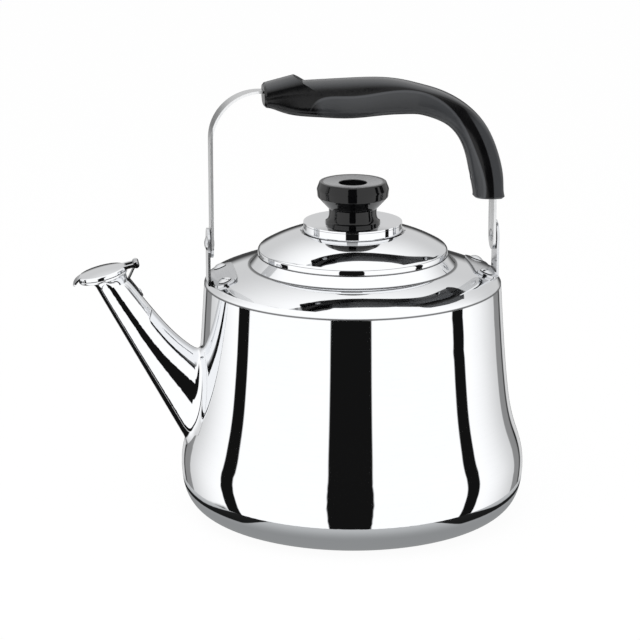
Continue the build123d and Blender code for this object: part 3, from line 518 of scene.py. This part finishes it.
def black_resin(name, gloss, peel, shine, painted_light_colour, painted_light_where):
    """Black moulded resin; gloss is the lowest and highest roughness, peel the depth of its
    surface, shine its mirror strength. paler(wire, place) tells where light is painted on: there
    the colour goes towards the one given as satin, as painted highlights and painted floor light."""
    material, wire, place, shader = start(name)
    haze = place.noise(HAZE_SCALE, HAZE_DETAIL).rise(*HAZE_EDGE)
    pores = place.noise(PORE_SCALE, PORE_DETAIL)
    polished = haze.mix(RESIN_DARK, RESIN_LIGHT)
    # The colour is painted lighter where light is painted on; the roughness is that of the polished
    # resin everywhere.
    connect(
        wire,
        shader,
        Base_Color=painted_light_where(wire, place).mix(polished, (*painted_light_colour, 1)),
        Roughness=gloss[0] + haze * (gloss[1] - gloss[0]) + pores.rise(*PORE_EDGE) * PORE_ROUGH,
        Normal=bumps(wire, pores, peel),
        Specular_IOR_Level=shine,
    )
    return material


def upward(wire, low, high):
    """0 up to a low height of the surface's normal, 1 from a high one; straight up is height 1."""
    return wire.node("ShaderNodeTexCoord", output="Normal").axes()[2].rise(low, high)


print("resin is ready to be made")

# %% [markdown]
# ## Where light is painted on the resin
# An S-shaped crease runs along the grip: above it the skin is polished and dark, below it the palm
# side is painted lighter, as light from the pale floor would make it. The crease could be cut as an
# edge in the solid. Here the painted change of lightness along its line shows it, with a thin
# painted highlight on the crease, and the solid stays smooth. The arm's outer edge, the grip's top
# and the knob's top get painted highlights too. The line is a curve round the bail's middle: the
# radius in millimetres is a polynomial of the angle in radians.

# %% Grip and knob
BEND_Z = 0.19
MM = 1000
CREASE = (-33.583, 144.58, -116.53, -277.58, 551.8, -350.92, 100.3, 75.208)
CREASE_SOFT = 0.4
# How strong the painted light on the grip is, and where it ends: palm side, crease glint, arm edge
# and top.
PALM_LIGHT, PALM_FALL, PALM_DEPTH, PALM_END = 0.74, 0.37, (0, 14), (1.84, 1.92)
GLINT, GLINT_DEPTH, GLINT_SOFT, GLINT_END = 0.3, (0.3, 1.5), 0.5, (1.88, 2.0)
UNDERSIDE = (-0.93, -0.72)
ARM_HIGHLIGHT, ARM_EDGE_RING, ARM_EDGE_WIDENS, ARM_EDGE_END = 0.67, 87.2, 13.8, (0.65, 0.85)
CROWN_HIGHLIGHT, CROWN_UP = 0.59, (0.45, 0.95)
KNOB_UP, KNOB_EDGE = (0.85, 1.0), (0.0182, 0.0192)


def grip_painted_light(wire, place):
    """Painted light: below the S-shaped crease the palm side is painted lighter, and painted
    highlights run along the crease, along the arm's outer edge and on the top. The painted light
    fades out on the underside, which stays dark."""
    x, _, z = place.axes()
    over = z - BEND_Z
    angle = wire.math("ARCTAN2", over, x)
    ring = wire.distance(x, over) * MM
    crease = angle * CREASE[0] + CREASE[1]
    for term in CREASE[2:]:
        crease = crease * angle + term
    below = crease - ring
    # Painted light on the palm side below the crease, dimmer further from it.
    painted_palm_light = below.rise(-CREASE_SOFT, CREASE_SOFT) * (1 - angle.rise(*PALM_END))
    painted_palm_light = painted_palm_light * (PALM_LIGHT - PALM_FALL * below.rise(*PALM_DEPTH))
    # A thin painted highlight along the crease.
    painted_glint = below.between(*GLINT_DEPTH, GLINT_SOFT) * (1 - angle.rise(*GLINT_END)) * GLINT
    painted_palm_light = (painted_palm_light + painted_glint) * upward(wire, *UNDERSIDE)
    # A painted highlight along the arm's outer edge.
    outside = ring - (ARM_EDGE_RING + ARM_EDGE_WIDENS * angle)
    edge = outside.rise(-CREASE_SOFT, CREASE_SOFT) * (1 - angle.rise(*ARM_EDGE_END))
    # A painted highlight on the top, where the skin faces up.
    crown_highlight = upward(wire, *CROWN_UP) * CROWN_HIGHLIGHT
    return wire.math("MAXIMUM", wire.math("MAXIMUM", painted_palm_light, edge * ARM_HIGHLIGHT), crown_highlight)


def knob_painted_light(wire, place):
    """The knob's dished top is painted lighter where it faces up, as a painted highlight, inside
    its polished edge, which stays dark.
    """
    x, y, _ = place.axes()
    return upward(wire, *KNOB_UP) * (1 - wire.distance(x, y).rise(*KNOB_EDGE))


# The grip's lighter colour is that of its painted light at full strength.
grip_resin = black_resin(
    "grip_resin",
    gloss=(0.14, 0.2),
    peel=0.05,
    shine=0.28,
    painted_light_colour=(0.1, 0.104, 0.111),
    painted_light_where=grip_painted_light,
)
# The knob's lighter colour is that of its painted highlight.
knob_resin = black_resin(
    "knob_resin",
    gloss=(0.06, 0.1),
    peel=0.03,
    shine=0.42,
    painted_light_colour=(0.34, 0.345, 0.355),
    painted_light_where=knob_painted_light,
)
print("resins:", grip_resin.name, "and", knob_resin.name)

# %% [markdown]
# ## Every part gets its finish
# The construction model's parts keep their shape. Each takes the finish that its real counterpart
# has, by its material slot.

# %% Finishes on the kettle's parts
finishes = {
    mirror_seamed: ["pot_wall", "shoulder_dome"],
    mirror_turned: ["lid_shell", "knob_disc"],
    mirror_drawn: ["spout", "spout_cap"],
    stamped: ["rear_lug", "front_lug", "spout_hinge_leaf"],
    strap_steel: ["front_strap", "rear_strap"],
    rivet_steel: [
        "rear_lug_rivets",
        "front_lug_rivets",
        "rear_pivot_rivet",
        "front_pivot_rivet",
        "cap_hinge_pin",
    ],
    zinc: [
        "grip_screws",
        "rear_pivot_washer",
        "front_pivot_washer",
        "knob_screw",
        "knob_washer",
        "knob_nut",
    ],
    base_steel: ["base_cover", "lid_skirt", "whistle_cup", "whistle_plate"],
    disc_metal: ["heat_disc"],
    grip_resin: ["handle_grip"],
    knob_resin: ["knob"],
}
for material, names in finishes.items():
    for name in names:
        for slot in nodes[name].material_slots:
            slot.material = material
finished = sum(len(names) for names in finishes.values())
print("parts with a finish:", finished, "of", len(nodes))

# %% [markdown]
# ## Ground weld round the spout's root
# The spout is a drawn tube of its own, welded over a hole in the wall. The weld is ground and
# polished to a soft hollow, so that wall and spout flow into each other. It could be rounded in
# the construction model, but two free-form shells meet here at every angle. The line where they
# meet already exists as the rim of the spout, so a copy of it is taken. One skirt runs from it
# over the wall, one up the spout, and subdivision draws the three lines into a hollow strip.

# %% The rim where the spout meets the wall
SAME_POINT = 0.000001
ON_WALL = 0.00002
rim = bpy.data.objects.new("rim", nodes["spout"].data.copy())
bpy.context.scene.collection.objects.link(rim)
bpy.ops.object.select_all(action="DESELECT")
rim.select_set(True)
bpy.context.view_layer.objects.active = rim
bpy.ops.object.mode_set(mode="EDIT")
bpy.ops.mesh.select_mode(type="EDGE")
bpy.ops.mesh.select_all(action="SELECT")
bpy.ops.mesh.remove_doubles(threshold=SAME_POINT)
bpy.ops.mesh.select_all(action="DESELECT")
bpy.ops.object.mode_set(mode="OBJECT")

wall = nodes["pot_wall"]
shape = rim.data
touching = {
    v.index
    for v in shape.vertices
    if (wall.closest_point_on_mesh(v.co)[1] - v.co).length < ON_WALL
}
root = sum((shape.vertices[k].co for k in touching), Vector()) / len(touching)
outside = set()
end_face = set()
for face in shape.polygons:
    if touching.issuperset(face.vertices):
        end_face.update(face.edge_keys)
    elif face.normal.dot(face.center - root) > 0:
        outside.update(face.edge_keys)
for edge in shape.edges:
    edge.select = edge.key in end_face and edge.key in outside
print("rim edges:", sum(edge.select for edge in shape.edges))

# %% The rim as a piece of its own
# The rim's points lie at uneven steps. Merging the close ones and smoothing once evens them out.
RIM_STEP = 0.0022
bpy.ops.object.mode_set(mode="EDIT")
bpy.ops.mesh.duplicate()
bpy.ops.mesh.separate(type="SELECTED")
bpy.ops.object.mode_set(mode="OBJECT")
weld = next(piece for piece in bpy.context.selected_objects if piece is not rim)
bpy.data.objects.remove(rim)
weld.name = "spout_weld"
bpy.context.view_layer.objects.active = weld
weld.vertex_groups.clear()
bpy.ops.object.mode_set(mode="EDIT")
bpy.ops.mesh.select_all(action="SELECT")
bpy.ops.mesh.remove_doubles(threshold=RIM_STEP)
bpy.ops.mesh.vertices_smooth(factor=0.5, repeat=1)
bpy.ops.object.mode_set(mode="OBJECT")
print("rim points:", len(weld.data.vertices))

# %% Two skirts along the rim
WELD_REACH = 0.009
SPOUT_LEAN = radians(28.4)
spout_up = Vector((-sin(SPOUT_LEAN), 0, cos(SPOUT_LEAN)))
half_size = [max(abs(v.co[k] - root[k]) for v in weld.data.vertices) for k in range(3)]
wider = [1, 1 + WELD_REACH / half_size[1], 1 + WELD_REACH / half_size[2]]


def skirt(name):
    """Extrude the rim once; the new line belongs to its own group and stays selected."""
    weld.vertex_groups.active = weld.vertex_groups["rim"]
    bpy.ops.mesh.select_all(action="DESELECT")
    bpy.ops.object.vertex_group_select()
    bpy.ops.mesh.extrude_region_move()
    bpy.ops.object.vertex_group_remove_from()
    weld.vertex_groups.active = weld.vertex_groups[name]
    bpy.ops.object.vertex_group_assign()


for name in ("rim", "on_wall", "on_spout"):
    weld.vertex_groups.new(name=name)
weld.vertex_groups.active = weld.vertex_groups["rim"]
bpy.ops.object.mode_set(mode="EDIT")
bpy.ops.mesh.select_mode(type="VERT")
bpy.ops.mesh.select_all(action="SELECT")
bpy.ops.object.vertex_group_assign()
skirt("on_wall")
bpy.ops.transform.resize(value=wider, center_override=root)
skirt("on_spout")
bpy.ops.transform.translate(value=spout_up * WELD_REACH)
bpy.ops.mesh.select_all(action="SELECT")
bpy.ops.mesh.normals_make_consistent(inside=False)
bpy.ops.object.mode_set(mode="OBJECT")
print("skirts:", len(weld.data.polygons), "faces")

# %% Skirts laid on wall and spout, then rounded
WELD_LIFT = 0.00004
WELD_LEVELS = 3
for group, target in (("on_wall", wall), ("on_spout", nodes["spout"])):
    lay = weld.modifiers.new(group, "SHRINKWRAP")
    lay.target = target
    lay.vertex_group = group
    lay.wrap_method = "NEAREST_SURFACEPOINT"
    lay.wrap_mode = "ABOVE_SURFACE"
    lay.offset = WELD_LIFT
    bpy.ops.object.modifier_apply(modifier=group)
soften = weld.modifiers.new("soften", "SMOOTH")
soften.vertex_group = "rim"
soften.factor = 0.5
bpy.ops.object.modifier_apply(modifier="soften")
rounded = weld.modifiers.new("rounded", "SUBSURF")
rounded.levels = WELD_LEVELS
bpy.ops.object.modifier_apply(modifier="rounded")
bpy.ops.object.shade_smooth()
weld.data.materials.clear()
weld.data.materials.append(mirror_drawn)
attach(weld, "kettle")
print("ground weld:", len(weld.data.polygons), "faces")

# %% [markdown]
# ## Rivet on the hinge leaf
# A small rivet holds the leaf of the cap's hinge on the spout's ridge. Half a ball would look like
# a bead. A real rivet head has a short straight edge and a flattened dome, so a disc is extruded
# up in steps that draw in.

# %% Rivet head on the leaf
RIVET_R = 0.0016
RIVET_SIDES = 32
RIVET_SPOT = (-0.1352, 0, 0.14736)
RIVET_CREASE = radians(40)
LEAF_TILT = radians(52.77)
# how far each step rises, and how much it draws in
HEAD_STEPS = ((0.0003, 1.0), (0.00018, 0.93), (0.00016, 0.85), (0.00012, 0.7), (0.00006, 0.5))
bpy.ops.object.select_all(action="DESELECT")
bpy.ops.mesh.primitive_circle_add(vertices=RIVET_SIDES, radius=RIVET_R, fill_type="NGON")
rivet = bpy.context.active_object
rivet.name = "leaf_rivet"
bpy.ops.object.mode_set(mode="EDIT")
bpy.ops.mesh.select_all(action="SELECT")
for rise, draw in HEAD_STEPS:
    bpy.ops.mesh.extrude_region_move(TRANSFORM_OT_translate={"value": (0, 0, rise)})
    bpy.ops.transform.resize(value=(draw, draw, 1))
bpy.ops.mesh.select_all(action="SELECT")
bpy.ops.mesh.normals_make_consistent(inside=False)
bpy.ops.object.mode_set(mode="OBJECT")
rivet.rotation_euler = (0, LEAF_TILT, 0)
rivet.location = RIVET_SPOT
bpy.ops.object.transform_apply(location=True, rotation=True, scale=True)
bpy.ops.object.shade_smooth_by_angle(angle=RIVET_CREASE)
rivet.data.materials.append(rivet_steel)
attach(rivet, "kettle")
print("leaf rivet:", len(rivet.data.polygons), "faces")
